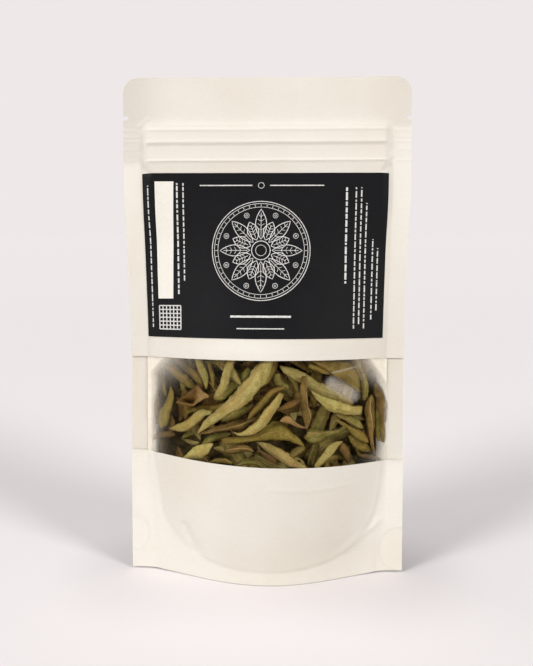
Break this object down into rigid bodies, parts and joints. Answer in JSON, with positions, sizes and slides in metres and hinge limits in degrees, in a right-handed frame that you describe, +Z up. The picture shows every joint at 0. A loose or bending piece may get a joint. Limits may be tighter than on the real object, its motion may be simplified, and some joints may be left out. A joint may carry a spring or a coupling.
{
  "type": "stand-up pouch of dried leaves",
  "caption": "Filled stand-up pouch with a folded bottom gusset, side seals, tear notches, a press-to-close strip, a clear front band and dried leaves inside.",
  "frame": {"origin": "on the floor at the middle of the base", "axes": "+Z up, the front with the label and the clear band towards -Y, +X to the right seen from the front"},
  "size_m": [0.13, 0.0402, 0.225],
  "materials": {
    "paper": "matt coated",
    "film": "clear gloss",
    "zip": "satin translucent",
    "label": "satin black",
    "leaf_light": "dull dry",
    "leaf_green": "dull dry",
    "leaf_olive": "dull dry",
    "leaf_brown": "dull dry",
    "leaf_rust": "dull dry"
  },
  "bodies": {
    "root": {"front_paper_upper": "paper", "front_paper_lower": "paper", "window_film": "film", "back_panel": "paper", "bottom_gusset": "paper", "zip_strip_front": "zip", "zip_strip_back": "zip", "front_label": "label", "leaf_heap": "leaf_olive", "leaf_01": "leaf_light", "leaf_02": "leaf_light", "leaf_03": "leaf_light", "leaf_04": "leaf_brown", "leaf_05": "leaf_olive", "leaf_06": "leaf_olive", "leaf_07": "leaf_light", "leaf_08": "leaf_light", "leaf_09": "leaf_light", "leaf_10": "leaf_brown", "leaf_11": "leaf_light", "leaf_12": "leaf_light", "leaf_13": "leaf_olive", "leaf_14": "leaf_rust", "leaf_15": "leaf_brown", "leaf_16": "leaf_green", "leaf_17": "leaf_olive", "leaf_18": "leaf_light", "leaf_19": "leaf_olive", "leaf_20": "leaf_brown", "leaf_21": "leaf_green", "leaf_22": "leaf_green", "leaf_23": "leaf_green", "leaf_24": "leaf_rust", "leaf_25": "leaf_olive", "leaf_26": "leaf_olive", "leaf_27": "leaf_green", "leaf_28": "leaf_green", "leaf_29": "leaf_olive", "leaf_30": "leaf_brown", "leaf_31": "leaf_green", "leaf_32": "leaf_green", "leaf_33": "leaf_green", "leaf_34": "leaf_brown", "leaf_35": "leaf_olive", "leaf_36": "leaf_green", "leaf_37": "leaf_brown", "leaf_38": "leaf_olive", "leaf_39": "leaf_green", "leaf_40": "leaf_green", "leaf_41": "leaf_green", "leaf_42": "leaf_rust", "leaf_43": "leaf_brown", "leaf_44": "leaf_light", "leaf_45": "leaf_brown", "leaf_46": "leaf_brown"}
  },
  "joints": []
}
